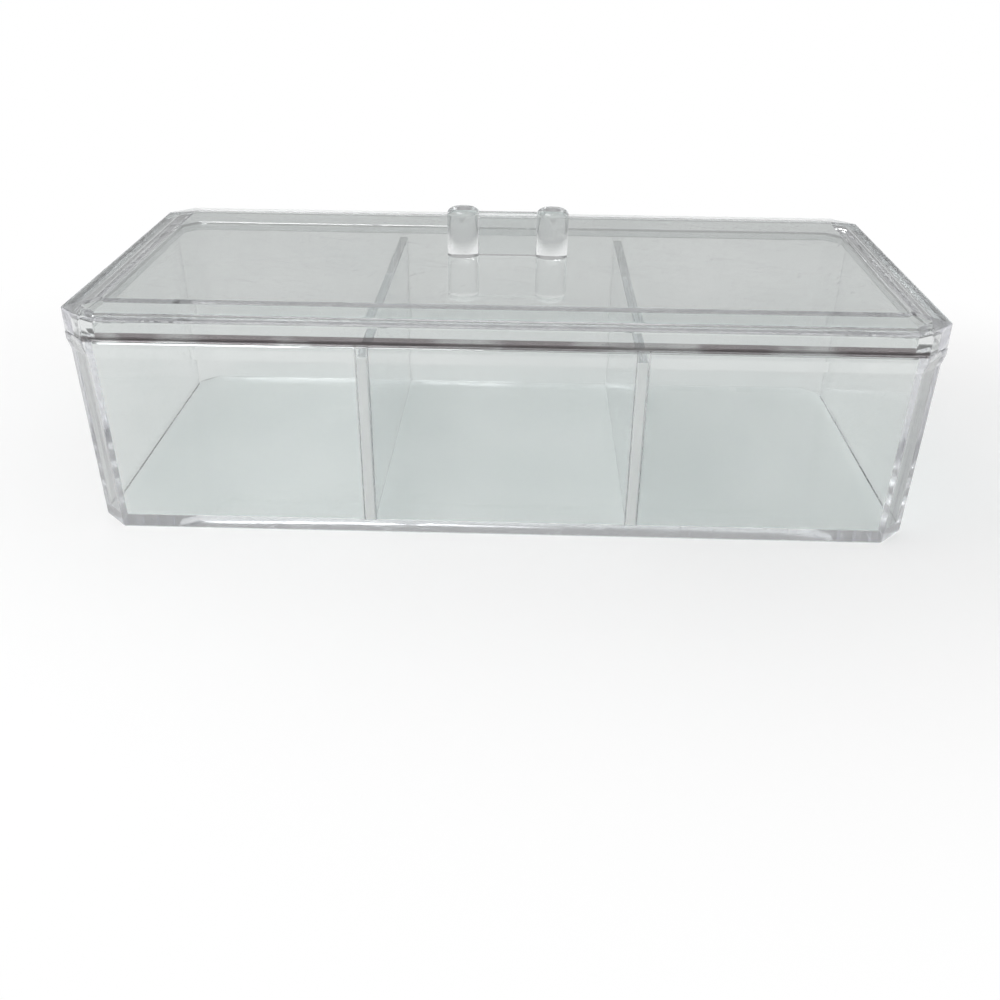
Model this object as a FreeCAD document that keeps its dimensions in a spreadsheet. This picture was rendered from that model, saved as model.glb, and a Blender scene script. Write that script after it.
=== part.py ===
import FreeCAD, Part
import os
import Sketcher

# A clear cosmetic organizer: an open tray, two dividers that lift out of it, a lid and the lid's handle.
# Lengths are millimetres. +X runs along the long side, +Y to the back and +Z up.
# The origin is the middle of the underside.

SIZES = (
    ("lid_width", "240", "lid and rim along X"),
    ("lid_depth", "116", "lid and rim along Y"),
    ("corner_cut", "7.2", "flat at each upright corner, taken off either side"),
    ("tray_height", "58.8", "underside to the top of the rim"),
    ("floor_thickness", "3.5", "tray floor"),
    ("wall", "2.6", "tray wall"),
    ("wall_taper", "1.25", "lean of each wall from the rim in to the floor"),
    ("rim_band", "2", "upright part of the rim"),
    ("rim_slope", "3.2", "slanted part of the rim below it"),
    ("rim_overhang", "0.7", "rim beyond the wall"),
    ("base_bevel", "0.6", "bevel of the edge round the underside"),
    ("lid_band", "6.9", "upright edge of the lid"),
    ("bevel_rise", "1.7", "height of the bevel round the lid's top"),
    ("bevel_run", "10", "width of the bevel round the lid's top"),
    ("lid_plate", "3", "lid at its flat top"),
    ("hollow_rise", "1.5", "height of the slope round the top of the lid's hollow"),
    ("lip_depth", "2", "drop of the lid's lip into the tray"),
    ("lip_width", "1.4", "lip from its outside in to the hollow of the lid"),
    ("lip_gap", "0.4", "play between the lip and the tray's wall"),
    ("divider_thickness", "3", "divider plate"),
    ("divider_spacing", "76", "between the middles of the dividers"),
    ("divider_headroom", "1.7", "from a divider up to the lip"),
    ("groove_depth", "0.8", "groove in the wall for a divider's edge"),
    ("groove_gap", "0.2", "play between a divider and its groove"),
    ("post_diameter", "10", "handle post"),
    ("post_spacing", "27", "between the middles of the posts"),
    ("post_height", "14.3", "handle post above the lid"),
    ("post_round", "1.9", "round at a post's top edge"),
    ("web_thickness", "3", "plate between the posts"),
    ("web_height", "13", "plate between the posts"),
    ("cut_overrun", "1", "run of a cut past the face that it opens"),
)

# Sums of sizes that more than one piece is built on.
RIM_INSET = "(sizes.rim_overhang + sizes.wall)"
FLOOR_INSET = "(sizes.rim_overhang + sizes.wall_taper + sizes.wall)"
LIP_INSET = f"({RIM_INSET} + sizes.lip_gap)"
HOLLOW_INSET = f"({LIP_INSET} + sizes.lip_width)"
LID_TOP = "(sizes.tray_height + sizes.lid_band + sizes.bevel_rise)"
LID_CEILING = f"({LID_TOP} - sizes.lid_plate)"
DIVIDER_TOP = "(sizes.tray_height - sizes.lip_depth - sizes.divider_headroom)"
DIVIDER_OFFSET = "(sizes.divider_spacing / 2)"

# Decimals to which two heights count as the same, and a sketch's own origin in its constraints.
SAME_DECIMALS = 6
ORIGIN_POINT = (-1, 1)


def make_sheet(doc):
    sheet = doc.addObject("Spreadsheet::Sheet", "sizes")
    for row, (alias, value, meaning) in enumerate(SIZES, start=1):
        sheet.set(f"A{row}", meaning)
        sheet.set(f"B{row}", value)
        sheet.setAlias(f"B{row}", alias)
    doc.recompute()
    return sheet


def new_body(doc, label):
    body = doc.addObject("PartDesign::Body", label)
    body.Label = label
    return body


def origin_plane(body, role):
    return next(item for item in body.Origin.OriginFeatures if item.Role == role)


def new_sketch(body, name, role, offset):
    sketch = body.newObject("Sketcher::SketchObject", name)
    sketch.AttachmentSupport = [(origin_plane(body, role), "")]
    sketch.MapMode = "FlatFace"
    sketch.setExpression("AttachmentOffset.Base.z", offset)
    return sketch


def add_loop(sketch, corners):
    points = [FreeCAD.Vector(x, y, 0) for x, y in corners]
    count = len(points)
    for index, point in enumerate(points):
        sketch.addGeometry(Part.LineSegment(point, points[(index + 1) % count]), False)
    for index in range(count):
        sketch.addConstraint(Sketcher.Constraint("Coincident", index, 2, (index + 1) % count, 1))


def bind_distance(sketch, label, direction, first, second, value, expression):
    index = sketch.addConstraint(Sketcher.Constraint(direction, *first, *second, value))
    sketch.renameConstraint(index, label)
    sketch.setExpression(f"Constraints.{label}", expression)


def outline(sheet, body, name, height, inset="0", shrink="0"):
    """A rectangle with cut corners: the lid's outline with its four sides moved in by inset.

    shrink is the length of that inset over which the corner flats move in by as much as the sides.
    """
    width = sheet.lid_width
    depth = sheet.lid_depth
    cut = sheet.corner_cut
    right = width / 2
    back = depth / 2
    sketch = new_sketch(body, name, "XY_Plane", height)
    add_loop(sketch, (
        (cut - right, -back), (right - cut, -back), (right, cut - back), (right, back - cut),
        (right - cut, back), (cut - right, back), (-right, back - cut), (-right, cut - back)))
    for side, axis in ((0, -2), (4, -2), (2, -1), (6, -1)):
        sketch.addConstraint(Sketcher.Constraint("Symmetric", side, 1, side, 2, axis))
    for side, opposite in ((0, 4), (2, 6)):
        sketch.addConstraint(Sketcher.Constraint("Symmetric", side, 1, opposite, 1, *ORIGIN_POINT))
    bind_distance(sketch, "width", "DistanceX", (6, 1), (2, 1), width, f"sizes.lid_width - 2 * {inset}")
    bind_distance(sketch, "depth", "DistanceY", (0, 1), (4, 1), depth, f"sizes.lid_depth - 2 * {inset}")
    cut_length = f"sizes.corner_cut - {shrink} * (2 - sqrt(2))"
    bind_distance(sketch, "front_cut", "DistanceX", (0, 2), (2, 1), cut, cut_length)
    bind_distance(sketch, "side_cut", "DistanceY", (0, 2), (2, 1), cut, cut_length)
    return sketch


def upright(sheet, body, name, offset, low, high, low_inset, high_inset):
    """A trapezoid that stands across the tray, at offset along X, set in from the lid's front and back."""
    reach = sheet.lid_depth / 2
    top = sheet.tray_height
    bottom = sheet.floor_thickness
    sketch = new_sketch(body, name, "YZ_Plane", offset)
    add_loop(sketch, ((-reach, bottom), (reach, bottom), (reach, top), (-reach, top)))
    sketch.addConstraint(Sketcher.Constraint("Symmetric", 0, 1, 0, 2, -2))
    sketch.addConstraint(Sketcher.Constraint("Symmetric", 2, 1, 2, 2, -2))
    bind_distance(sketch, "low", "DistanceY", ORIGIN_POINT, (0, 1), bottom, low)
    bind_distance(sketch, "high", "DistanceY", ORIGIN_POINT, (2, 1), top, high)
    for label, ends, inset in (("low_depth", ((0, 1), (0, 2)), low_inset),
                               ("high_depth", ((2, 2), (2, 1)), high_inset)):
        bind_distance(sketch, label, "DistanceX", *ends, sheet.lid_depth, f"sizes.lid_depth - 2 * {inset}")
    return sketch


def loft(body, kind, name, sections):
    feature = body.newObject(kind, name)
    feature.Profile = sections[0]
    feature.Sections = sections[1:]
    feature.Ruled = True
    body.Document.recompute()
    return feature


def extrude(body, kind, name, sketch, length, side="One side", reverse=False):
    feature = body.newObject(kind, name)
    feature.Profile = sketch
    feature.setExpression("Length", length)
    feature.SideType = side
    feature.Reversed = reverse
    body.Document.recompute()
    return feature


def mirror_in_x(body, name, feature):
    mirrored = body.newObject("PartDesign::Mirrored", name)
    mirrored.Originals = [feature]
    mirrored.MirrorPlane = (origin_plane(body, "YZ_Plane"), [""])
    body.Tip = mirrored
    body.Document.recompute()
    return mirrored


def level_edges(feature, height):
    def is_level(edge):
        return all(round(vertex.Z - height, SAME_DECIMALS) == 0 for vertex in edge.Vertexes)

    return [f"Edge{index}" for index, edge in enumerate(feature.Shape.Edges, start=1) if is_level(edge)]


def round_edges(body, name, feature, height, radius):
    rounded = body.newObject("PartDesign::Fillet", name)
    rounded.Base = (feature, level_edges(feature, height))
    rounded.setExpression("Radius", radius)
    body.Document.recompute()
    return rounded


def make_tray(doc, sheet):
    tray = new_body(doc, "tray")
    wall_top = "sizes.tray_height - sizes.rim_band - sizes.rim_slope"
    rim_low = "sizes.tray_height - sizes.rim_band"
    base_inset = "(sizes.rim_overhang + sizes.wall_taper)"
    loft(tray, "PartDesign::AdditiveLoft", "tray_shell", [
        outline(sheet, tray, "base_outline", "0", f"({base_inset} + sizes.base_bevel)", "sizes.base_bevel"),
        outline(sheet, tray, "foot_outline", "sizes.base_bevel", base_inset),
        outline(sheet, tray, "wall_outline", wall_top, "sizes.rim_overhang"),
        outline(sheet, tray, "rim_low_outline", rim_low),
        outline(sheet, tray, "rim_top_outline", "sizes.tray_height")])
    loft(tray, "PartDesign::SubtractiveLoft", "tray_hollow", [
        outline(sheet, tray, "floor_outline", "sizes.floor_thickness", FLOOR_INSET, "sizes.wall"),
        outline(sheet, tray, "mouth_outline", "sizes.tray_height", RIM_INSET, "sizes.wall"),
        outline(sheet, tray, "mouth_cut_outline", "sizes.tray_height + sizes.cut_overrun",
                RIM_INSET, "sizes.wall")])
    groove = extrude(
        tray, "PartDesign::Pocket", "divider_groove",
        upright(sheet, tray, "groove_outline", DIVIDER_OFFSET, "sizes.floor_thickness", "sizes.tray_height",
                f"({FLOOR_INSET} - sizes.groove_depth)", f"({RIM_INSET} - sizes.groove_depth)"),
        "sizes.divider_thickness + 2 * sizes.groove_gap", "Symmetric")
    mirror_in_x(tray, "divider_grooves", groove)
    return tray


def make_divider(doc, sheet, label, offset):
    divider = new_body(doc, label)
    edge_shift = "(sizes.groove_depth - sizes.groove_gap)"
    wall_height = "(sizes.tray_height - sizes.floor_thickness)"
    lean = f"sizes.wall_taper * ({DIVIDER_TOP} - sizes.floor_thickness) / {wall_height}"
    sketch = upright(
        sheet, divider, f"{label}_outline", offset, "sizes.floor_thickness", DIVIDER_TOP,
        f"({FLOOR_INSET} - {edge_shift})", f"({FLOOR_INSET} - {edge_shift} - {lean})")
    extrude(divider, "PartDesign::Pad", f"{label}_plate", sketch, "sizes.divider_thickness", "Symmetric")
    return divider


def make_lid(doc, sheet):
    lid = new_body(doc, "lid")
    band_top = "sizes.tray_height + sizes.lid_band"
    loft(lid, "PartDesign::AdditiveLoft", "lid_block", [
        outline(sheet, lid, "seat_outline", "sizes.tray_height"),
        outline(sheet, lid, "band_outline", band_top),
        outline(sheet, lid, "top_outline", LID_TOP, "sizes.bevel_run", "sizes.bevel_run")])
    lip_outline = outline(sheet, lid, "lip_outline", "sizes.tray_height", LIP_INSET,
                          "(sizes.wall + sizes.lip_gap)")
    extrude(lid, "PartDesign::Pad", "lid_lip", lip_outline, "sizes.lip_depth", reverse=True)
    hollow_shrink = "(sizes.wall + sizes.lip_gap + sizes.lip_width)"
    loft(lid, "PartDesign::SubtractiveLoft", "lid_hollow", [
        outline(sheet, lid, "hollow_cut_outline", "sizes.tray_height - sizes.lip_depth - sizes.cut_overrun",
                HOLLOW_INSET, hollow_shrink),
        outline(sheet, lid, "hollow_edge_outline", f"{LID_CEILING} - sizes.hollow_rise",
                HOLLOW_INSET, hollow_shrink),
        outline(sheet, lid, "ceiling_outline", LID_CEILING, "sizes.bevel_run", "sizes.bevel_run")])
    return lid


def make_handle(doc, sheet):
    handle = new_body(doc, "handle")
    posts_outline = new_sketch(handle, "posts_outline", "XY_Plane", LID_TOP)
    radius = sheet.post_diameter / 2
    offset = sheet.post_spacing / 2
    for index, (side, centre) in enumerate((("left", -offset), ("right", offset))):
        circle = Part.Circle(FreeCAD.Vector(centre, 0, 0), FreeCAD.Vector(0, 0, 1), radius)
        posts_outline.addGeometry(circle, False)
        diameter = posts_outline.addConstraint(Sketcher.Constraint("Diameter", index, sheet.post_diameter))
        posts_outline.renameConstraint(diameter, f"{side}_diameter")
        posts_outline.setExpression(f"Constraints.{side}_diameter", "sizes.post_diameter")
    posts_outline.addConstraint(Sketcher.Constraint("Symmetric", 0, 3, 1, 3, *ORIGIN_POINT))
    posts_outline.addConstraint(Sketcher.Constraint("PointOnObject", 0, 3, -1))
    bind_distance(posts_outline, "spacing", "DistanceX", (0, 3), (1, 3), sheet.post_spacing,
                  "sizes.post_spacing")
    posts = extrude(handle, "PartDesign::Pad", "posts", posts_outline, "sizes.post_height")
    top = sheet.tray_height + sheet.lid_band + sheet.bevel_rise + sheet.post_height
    round_edges(handle, "post_rounds", posts, top, "sizes.post_round")
    half_web = sheet.web_thickness / 2
    web_outline = new_sketch(handle, "web_outline", "XY_Plane", LID_TOP)
    add_loop(web_outline, (
        (-offset, -half_web), (offset, -half_web), (offset, half_web), (-offset, half_web)))
    web_outline.addConstraint(Sketcher.Constraint("Symmetric", 0, 1, 0, 2, -2))
    web_outline.addConstraint(Sketcher.Constraint("Symmetric", 2, 1, 2, 2, -2))
    web_outline.addConstraint(Sketcher.Constraint("Symmetric", 1, 1, 1, 2, -1))
    bind_distance(web_outline, "length", "DistanceX", (0, 1), (0, 2), sheet.post_spacing,
                  "sizes.post_spacing")
    bind_distance(web_outline, "thickness", "DistanceY", (1, 1), (1, 2), sheet.web_thickness,
                  "sizes.web_thickness")
    extrude(handle, "PartDesign::Pad", "web", web_outline, "sizes.web_height")
    return handle


def check_and_write(doc, bodies):
    for item in doc.Objects:
        if "Invalid" in item.State or "Error" in item.State:
            raise RuntimeError(f"{item.Name} did not compute: {item.State}")
    os.makedirs("parts", exist_ok=True)
    for body in bodies:
        if body.Shape.isNull() or not body.Shape.isValid() or len(body.Shape.Solids) != 1:
            raise RuntimeError(f"{body.Label} is not one valid solid")
        body.Shape.exportStep(f"parts/{body.Label}.step")


def main():
    doc = FreeCAD.newDocument("cosmetic_organizer")
    sheet = make_sheet(doc)
    bodies = [
        make_tray(doc, sheet),
        make_divider(doc, sheet, "divider_left", f"-{DIVIDER_OFFSET}"),
        make_divider(doc, sheet, "divider_right", DIVIDER_OFFSET),
        make_lid(doc, sheet),
        make_handle(doc, sheet)]
    doc.recompute()
    check_and_write(doc, bodies)


main()
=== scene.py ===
import math

import bpy
from mathutils import Matrix, Vector

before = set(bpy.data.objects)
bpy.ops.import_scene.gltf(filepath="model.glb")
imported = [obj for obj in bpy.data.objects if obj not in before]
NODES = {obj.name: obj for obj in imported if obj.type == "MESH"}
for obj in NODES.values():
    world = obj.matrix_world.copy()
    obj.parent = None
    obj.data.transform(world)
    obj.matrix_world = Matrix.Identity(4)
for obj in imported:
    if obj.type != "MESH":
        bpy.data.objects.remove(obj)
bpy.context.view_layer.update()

MM = 0.001

# The photograph's camera, in the object's own frame.
CAMERA_AT_MM = (6.26, -333.94, 164.04)
CAMERA_YAW_DEG = 1.32
CAMERA_PITCH_DEG = -28.70
CAMERA_ROLL_DEG = 0.64
FOCAL_PX = 1101.0
IMAGE_PX = 1000.0
SENSOR_MM = 36.0

# Pieces that rest on each other are kept this far apart, because clear faces need air between them.
AIR_FILM = 0.06 * MM

# Height of the face on which the lid rests, and how softly the painted shade along the seam there fades out.
SEAT_HEIGHT = 58.8 * MM
SEAM_FADE = 0.1 * MM

# Real sizes of the small forms that the looks add.
WELD_REACH = 0.01 * MM
EDGE_WEAR = 0.3 * MM
EDGE_ANGLE_DEG = 20.0
RIPPLE_DEPTH = 0.6 * MM

# Clear plastic: how it bends light, and what its walls and long ways through it take away.
PLASTIC_IOR = 1.5
SHADOW_TINT = (0.93, 0.94, 0.94, 1.0)
DEPTH_TINT = (0.82, 0.81, 0.88, 1.0)
DEPTH_DENSITY = 3.0

# Stage and light, in metres and watts.
WHITE = (1.0, 1.0, 1.0, 1.0)
FLOOR_REACH = 6.0
FLOOR_DROP = 0.2 * MM
FLOOR_FADE = (0.13, 0.34)
FILL_STRENGTH = 0.64
KEY_AT = (-0.35, -0.30, 0.85)
KEY_TARGET = (0.0, 0.0, 0.03)
KEY_SIZE = (0.6, 0.5)
KEY_POWER = 5.0

# Light that is caught inside the thick edges needs many turns before it gets out again.
LIGHT_TURNS = 48


def add_camera():
    yaw = math.radians(CAMERA_YAW_DEG)
    pitch = math.radians(CAMERA_PITCH_DEG)
    roll = math.radians(CAMERA_ROLL_DEG)
    forward = Vector((-math.sin(yaw) * math.cos(pitch), math.cos(yaw) * math.cos(pitch), math.sin(pitch)))
    level = Vector((math.cos(yaw), math.sin(yaw), 0.0))
    up = level.cross(forward)
    right = math.cos(roll) * level + math.sin(roll) * up
    top = -math.sin(roll) * level + math.cos(roll) * up
    data = bpy.data.cameras.new("camera")
    data.sensor_width = SENSOR_MM
    data.sensor_fit = "HORIZONTAL"
    data.lens = FOCAL_PX * SENSOR_MM / IMAGE_PX
    data.clip_start = 0.005
    data.clip_end = 50.0
    camera = bpy.data.objects.new("camera", data)
    place = Matrix((right, top, -forward)).transposed().to_4x4()
    place.translation = Vector(CAMERA_AT_MM) * MM
    camera.matrix_world = place
    bpy.context.scene.collection.objects.link(camera)
    bpy.context.scene.camera = camera


class Tree:
    """Short calls for the nodes of one material."""

    def __init__(self, name, owner=None):
        self.material = owner or bpy.data.materials.new(name)
        self.material.use_nodes = True
        self.nodes = self.material.node_tree.nodes
        self.links = self.material.node_tree.links
        self.nodes.clear()

    def add(self, kind, **settings):
        node = self.nodes.new(kind)
        for key, value in settings.items():
            setattr(node, key, value)
        return node

    def link(self, source, target):
        self.links.new(source, target)

    def noise(self, coordinates, scale, detail=2.0, roughness=0.5, distortion=0.0):
        node = self.add("ShaderNodeTexNoise")
        node.inputs["Scale"].default_value = scale
        node.inputs["Detail"].default_value = detail
        node.inputs["Roughness"].default_value = roughness
        node.inputs["Distortion"].default_value = distortion
        self.link(coordinates, node.inputs["Vector"])
        return node.outputs["Fac"]

    def ramp(self, source, stops):
        node = self.add("ShaderNodeValToRGB")
        elements = node.color_ramp.elements
        while len(elements) < len(stops):
            elements.new(1.0)
        for element, (position, colour) in zip(elements, stops):
            element.position = position
            element.color = (*colour, 1.0)
        self.link(source, node.inputs["Fac"])
        return node.outputs["Color"]

    def scale_vector(self, source, factors):
        node = self.add("ShaderNodeVectorMath", operation="MULTIPLY")
        node.inputs[1].default_value = factors
        self.link(source, node.inputs[0])
        return node.outputs["Vector"]

    def turn_vector(self, source, degrees):
        node = self.add("ShaderNodeVectorRotate", rotation_type="EULER_XYZ")
        node.inputs["Rotation"].default_value = [math.radians(angle) for angle in degrees]
        self.link(source, node.inputs["Vector"])
        return node.outputs["Vector"]

    def part(self, source, letter):
        node = self.add("ShaderNodeSeparateXYZ")
        self.link(source, node.inputs["Vector"])
        return node.outputs[letter]

    def math(self, operation, first, second=None):
        node = self.add("ShaderNodeMath", operation=operation)
        for socket, value in zip(node.inputs, (first, second)):
            if isinstance(value, (int, float)):
                socket.default_value = value
            elif value is not None:
                self.link(value, socket)
        return node.outputs["Value"]

    def step(self, source, low, high, start=0.0, end=1.0):
        """A smooth step from start to end while source goes from low to high."""
        node = self.add("ShaderNodeMapRange", interpolation_type="SMOOTHSTEP")
        for name, value in (("From Min", low), ("From Max", high), ("To Min", start), ("To Max", end)):
            node.inputs[name].default_value = value
        self.link(source, node.inputs["Value"])
        return node.outputs["Result"]

    def blend(self, share, first, second, kind="FLOAT"):
        """first where share is 0 and second where it is 1; each is a number, a colour or a socket."""
        node = self.add("ShaderNodeMix", data_type=kind)
        at = {"FLOAT": 2, "RGBA": 6}[kind]
        self.link(share, node.inputs[0])
        for socket, value in ((node.inputs[at], first), (node.inputs[at + 1], second)):
            if isinstance(value, bpy.types.NodeSocket):
                self.link(value, socket)
            else:
                socket.default_value = value
        return node.outputs[{"FLOAT": 0, "RGBA": 2}[kind]]


def sawn_ends(tree, place, normal):
    """The upright end faces of a plate that was sawn to length."""
    return tree.step(tree.math("ABSOLUTE", tree.part(normal, "Y")), 0.6, 0.9)


def between(tree, value, low, high):
    """1 from low to high, with soft ends."""
    above = tree.step(value, low - SEAM_FADE, low)
    below = tree.step(value, high, high + SEAM_FADE, 1.0, 0.0)
    return tree.math("MULTIPLY", above, below)


def outer_side(tree, place, normal):
    """The faces that look away from the middle of the box."""
    along = (tree.math("MULTIPLY", tree.part(place, letter), tree.part(normal, letter)) for letter in "XY")
    return tree.step(tree.math("ADD", *along), 0.0, 0.02)


def slant(tree, normal):
    """0 on the four straight sides and 0.5 on the flats across the corners."""
    return tree.math("ABSOLUTE", tree.math("MULTIPLY", tree.part(normal, "X"), tree.part(normal, "Y")))


def painted_seam_shade(low, high):
    """The outer sides between two heights, measured from the lid's seat, painted dark as painted shade where
    lid and tray meet.
    """
    def mask(tree, place, normal):
        level = between(tree, tree.part(place, "Z"), SEAT_HEIGHT + low, SEAT_HEIGHT + high)
        breaks = tree.step(tree.noise(place, 55.0, detail=2.0), 0.36, 0.5, 0.72, 1.0)
        sides = tree.step(slant(tree, normal), 0.2, 0.4, 1.0, 0.15)
        share = tree.math("MULTIPLY", level, outer_side(tree, place, normal))
        return tree.math("MULTIPLY", share, tree.math("MULTIPLY", sides, breaks))
    return mask


def shaded_corner_streaks(tree, place, normal):
    """The flats across the upright corners, painted darker in upright streaks: painted shade for the dark
    lines that the thick corners show.
    """
    streaks = tree.noise(tree.scale_vector(place, (700.0, 700.0, 14.0)), 1.0, detail=2.0)
    share = tree.math("MULTIPLY", tree.step(slant(tree, normal), 0.2, 0.4), outer_side(tree, place, normal))
    return tree.math("MULTIPLY", share, tree.step(streaks, 0.3, 0.7, 0.35, 1.0))


def clear_plastic(name, thin, thick, ripple, faces=()):
    """Polished clear plastic: a cloudy tint, fine scuffs and scratches and a slow ripple.

    Each of faces is a mask for some of the piece's faces, their colour, how clear they are and, where
    they are dull, their roughness.
    """
    tree = Tree(name)
    coordinates = tree.add("ShaderNodeTexCoord")
    place = coordinates.outputs["Object"]
    cloud = tree.noise(place, 22.0, detail=3.0)
    tint = tree.ramp(cloud, ((0.3, thin), (0.72, thick)))
    scuff = tree.noise(tree.scale_vector(place, (60.0, 340.0, 200.0)), 2.2, detail=6.0, roughness=0.7)
    gloss = tree.step(scuff, 0.5, 0.78, 0.012, 0.06)
    scratches = (((0, 0, 24), (45.0, 1500.0, 1500.0)), ((20, 0, -58), (30.0, 1100.0, 1100.0)))
    for degrees, stretch in scratches:
        lines = tree.noise(tree.scale_vector(tree.turn_vector(place, degrees), stretch), 1.0, detail=0.0)
        gloss = tree.math("MAXIMUM", gloss, tree.step(lines, 0.76, 0.80, 0.0, 0.22))
    wave = tree.noise(place, 38.0, detail=1.0)
    bump = tree.add("ShaderNodeBump")
    bump.inputs["Strength"].default_value = ripple
    bump.inputs["Distance"].default_value = RIPPLE_DEPTH
    shader = tree.add("ShaderNodeBsdfPrincipled")
    shader.inputs["IOR"].default_value = PLASTIC_IOR
    shader.inputs["Transmission Weight"].default_value = 1.0
    grain = tree.noise(tree.scale_vector(place, (900.0, 900.0, 2600.0)), 1.0, detail=2.0)
    for mask, colour, clear, dullness in faces:
        share = mask(tree, place, coordinates.outputs["Normal"])
        tint = tree.blend(share, tint, (*colour, 1.0), "RGBA")
        if dullness:
            gloss = tree.blend(share, gloss, tree.step(grain, 0.35, 0.65, dullness, dullness + 0.12))
        if clear < 1.0:
            tree.link(tree.blend(share, 1.0, clear), shader.inputs["Transmission Weight"])
    tree.link(wave, bump.inputs["Height"])
    tree.link(tint, shader.inputs["Base Color"])
    tree.link(gloss, shader.inputs["Roughness"])
    tree.link(bump.outputs["Normal"], shader.inputs["Normal"])
    # Lamps shine through the clear walls, so that the shadow on the floor is as pale as a clear box's.
    through = tree.add("ShaderNodeBsdfTransparent")
    through.inputs["Color"].default_value = SHADOW_TINT
    path = tree.add("ShaderNodeLightPath")
    mix = tree.add("ShaderNodeMixShader")
    tree.link(path.outputs["Is Shadow Ray"], mix.inputs["Fac"])
    tree.link(shader.outputs["BSDF"], mix.inputs[1])
    tree.link(through.outputs["BSDF"], mix.inputs[2])
    # Long ways through the plastic, along its edges, take on a trace of lilac.
    depth = tree.add("ShaderNodeVolumeAbsorption")
    depth.inputs["Color"].default_value = DEPTH_TINT
    depth.inputs["Density"].default_value = DEPTH_DENSITY
    output = tree.add("ShaderNodeOutputMaterial")
    tree.link(mix.outputs["Shader"], output.inputs["Surface"])
    tree.link(depth.outputs["Volume"], output.inputs["Volume"])
    return tree.material


def dress(node, material, air=0.0):
    """Gives a CAD piece its material, its worn edges and the film of air between it and what it rests on."""
    piece = NODES[node]
    piece.data.materials.clear()
    piece.data.materials.append(material)
    weld = piece.modifiers.new("weld", "WELD")
    weld.merge_threshold = WELD_REACH
    if air:
        film = piece.modifiers.new("air", "DISPLACE")
        film.strength = -air
        film.mid_level = 0.0
    bevel = piece.modifiers.new("edge", "BEVEL")
    bevel.width = EDGE_WEAR
    bevel.segments = 2
    bevel.limit_method = "ANGLE"
    bevel.angle_limit = math.radians(EDGE_ANGLE_DEG)
    bevel.harden_normals = False


def seen_rays(tree):
    """1 for rays from the camera, off gloss or through clear pieces, 0 for rays that light the scene."""
    path = tree.add("ShaderNodeLightPath")
    first = tree.math("MAXIMUM", path.outputs["Is Camera Ray"], path.outputs["Is Glossy Ray"])
    return tree.math("MAXIMUM", first, path.outputs["Is Transmission Ray"])


def add_stage():
    """A pale floor that takes the object's shadow near it and fades to white further out."""
    floor_mesh = bpy.data.meshes.new("floor")
    corners = [(across * FLOOR_REACH, along * FLOOR_REACH, 0.0)
               for across, along in ((-1, -1), (1, -1), (1, 1), (-1, 1))]
    floor_mesh.from_pydata(corners, [], [(0, 1, 2, 3)])
    floor = bpy.data.objects.new("floor", floor_mesh)
    floor.location = (0.0, 0.0, -FLOOR_DROP)
    bpy.context.scene.collection.objects.link(floor)
    tree = Tree("floor")
    place = tree.add("ShaderNodeTexCoord").outputs["Object"]
    tone = tree.ramp(tree.noise(place, 3.0), ((0.3, (0.87, 0.87, 0.87)), (0.7, (0.89, 0.89, 0.89))))
    shader = tree.add("ShaderNodeBsdfPrincipled")
    shader.inputs["Roughness"].default_value = 0.7
    shader.inputs["Specular IOR Level"].default_value = 0.1
    tree.link(tone, shader.inputs["Base Color"])
    white = tree.add("ShaderNodeEmission")
    white.inputs["Strength"].default_value = 1.0
    length = tree.add("ShaderNodeVectorMath", operation="LENGTH")
    tree.link(tree.scale_vector(place, (1.0, 1.5, 1.0)), length.inputs[0])
    fade = tree.step(length.outputs["Value"], *FLOOR_FADE)
    mix = tree.add("ShaderNodeMixShader")
    tree.link(tree.math("MULTIPLY", fade, seen_rays(tree)), mix.inputs["Fac"])
    tree.link(shader.outputs["BSDF"], mix.inputs[1])
    tree.link(white.outputs["Emission"], mix.inputs[2])
    output = tree.add("ShaderNodeOutputMaterial")
    tree.link(mix.outputs["Shader"], output.inputs["Surface"])
    floor_mesh.materials.append(tree.material)


def add_light(name, place, target, size, power):
    data = bpy.data.lights.new(name, "AREA")
    data.shape = "RECTANGLE"
    data.size, data.size_y = size
    data.energy = power
    lamp = bpy.data.objects.new(name, data)
    lamp.location = place
    lamp.rotation_euler = (Vector(target) - Vector(place)).to_track_quat("-Z", "Y").to_euler()
    bpy.context.scene.collection.objects.link(lamp)


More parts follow.
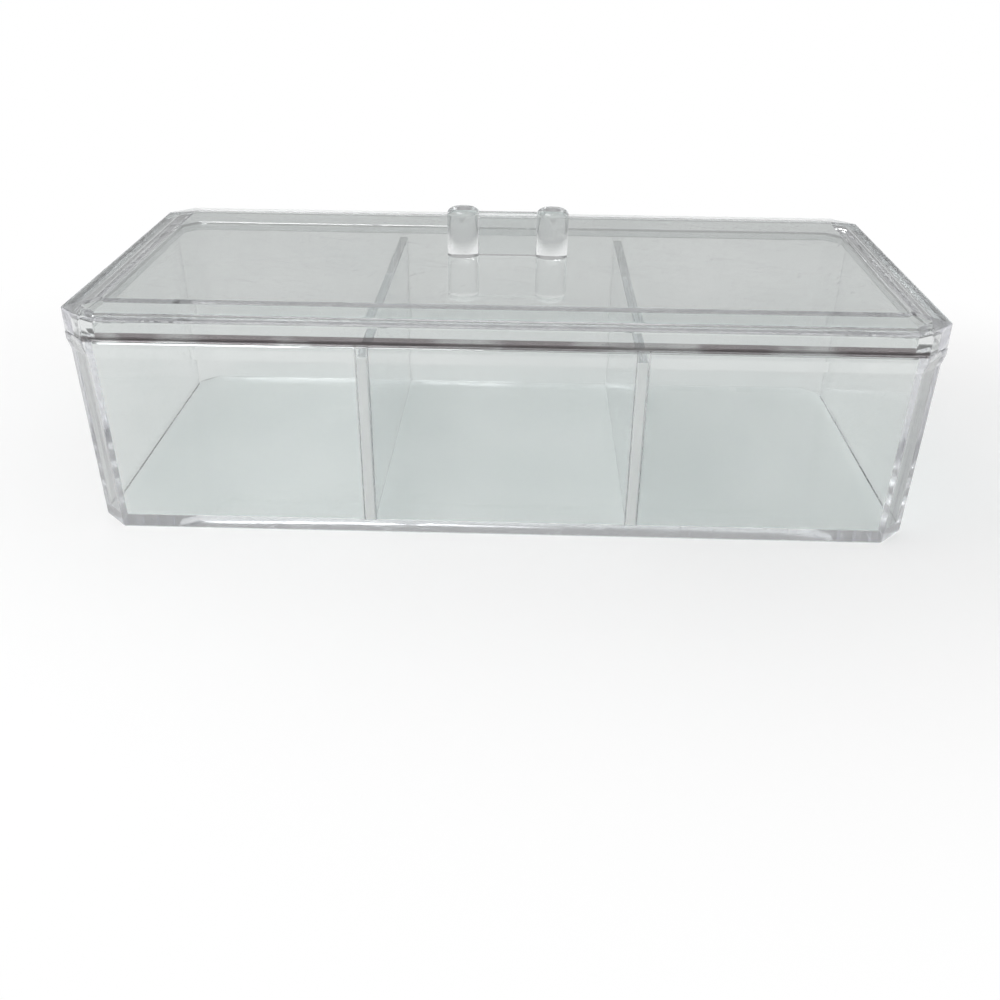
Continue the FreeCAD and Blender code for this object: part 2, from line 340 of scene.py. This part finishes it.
def light_scene():
    scene = bpy.context.scene
    scene.view_settings.view_transform = "Standard"
    scene.cycles.max_bounces = LIGHT_TURNS
    scene.cycles.transmission_bounces = LIGHT_TURNS
    scene.cycles.glossy_bounces = LIGHT_TURNS
    scene.cycles.transparent_max_bounces = LIGHT_TURNS
    world = bpy.data.worlds.new("surround")
    scene.world = world
    tree = Tree("", world)
    # White round the horizon and high up in front, darker overhead and at the sides, to draw the edges.
    way = tree.add("ShaderNodeTexCoord").outputs["Generated"]
    across, along, height = (tree.part(way, letter) for letter in "XYZ")
    horizon = tree.step(height, 0.06, 0.22, 1.0, 0.0)
    front = tree.step(along, -0.6, -0.2, 1.0, 0.45)
    behind = tree.math("MULTIPLY", tree.step(along, 0.2, 0.6, 0.0, 0.40),
                       tree.step(height, 0.55, 0.85, 1.0, 0.0))
    sides = tree.step(tree.math("ABSOLUTE", across), 0.45, 0.8, 1.0, 0.5)
    high = tree.math("MULTIPLY", tree.math("MAXIMUM", front, behind), sides)
    seen = tree.math("MAXIMUM", horizon, high)
    strength = tree.blend(seen_rays(tree), FILL_STRENGTH, seen)
    # The camera itself sees plain white behind the object.
    strength = tree.blend(tree.add("ShaderNodeLightPath").outputs["Is Camera Ray"], strength, 1.0)
    background = tree.add("ShaderNodeBackground")
    background.inputs["Color"].default_value = WHITE
    tree.link(strength, background.inputs["Strength"])
    output = tree.add("ShaderNodeOutputWorld")
    tree.link(background.outputs["Background"], output.inputs["Surface"])
    add_light("key", KEY_AT, KEY_TARGET, KEY_SIZE, KEY_POWER)


add_camera()
TRAY_LOOK = clear_plastic("clear_tray", (0.87, 0.885, 0.88), (0.83, 0.85, 0.845), 0.04, (
    # painted shade: darker streaks on the tray's corner flats
    (shaded_corner_streaks, (0.44, 0.44, 0.45), 1.0, 0.05),
    # painted shade: a dark band on the tray just below where the lid rests
    (painted_seam_shade(-0.4 * MM, 0.2 * MM), (0.12, 0.10, 0.105), 1.0, None)))
LID_LOOK = clear_plastic("clear_lid", (0.81, 0.825, 0.82), (0.77, 0.79, 0.785), 0.04, (
    # painted shade: slightly darker streaks on the lid's corner flats
    (shaded_corner_streaks, (0.82, 0.82, 0.83), 1.0, 0.05),
    # painted shade: a dark band on the lid just above where it rests on the tray
    (painted_seam_shade(-0.2 * MM, 1.1 * MM), (0.09, 0.07, 0.075), 1.0, None)))
HANDLE_LOOK = clear_plastic("clear_handle", (0.93, 0.94, 0.94), (0.89, 0.905, 0.905), 0.02)
DIVIDER_LOOK = clear_plastic("clear_divider", (0.95, 0.955, 0.955), (0.91, 0.92, 0.92), 0.03, (
    (sawn_ends, (0.99, 0.99, 0.99), 0.05, 0.3),))
dress("tray", TRAY_LOOK)
dress("lid", LID_LOOK, AIR_FILM)
dress("handle", HANDLE_LOOK, AIR_FILM)
dress("divider_left", DIVIDER_LOOK, AIR_FILM)
dress("divider_right", DIVIDER_LOOK, AIR_FILM)
add_stage()
light_scene()
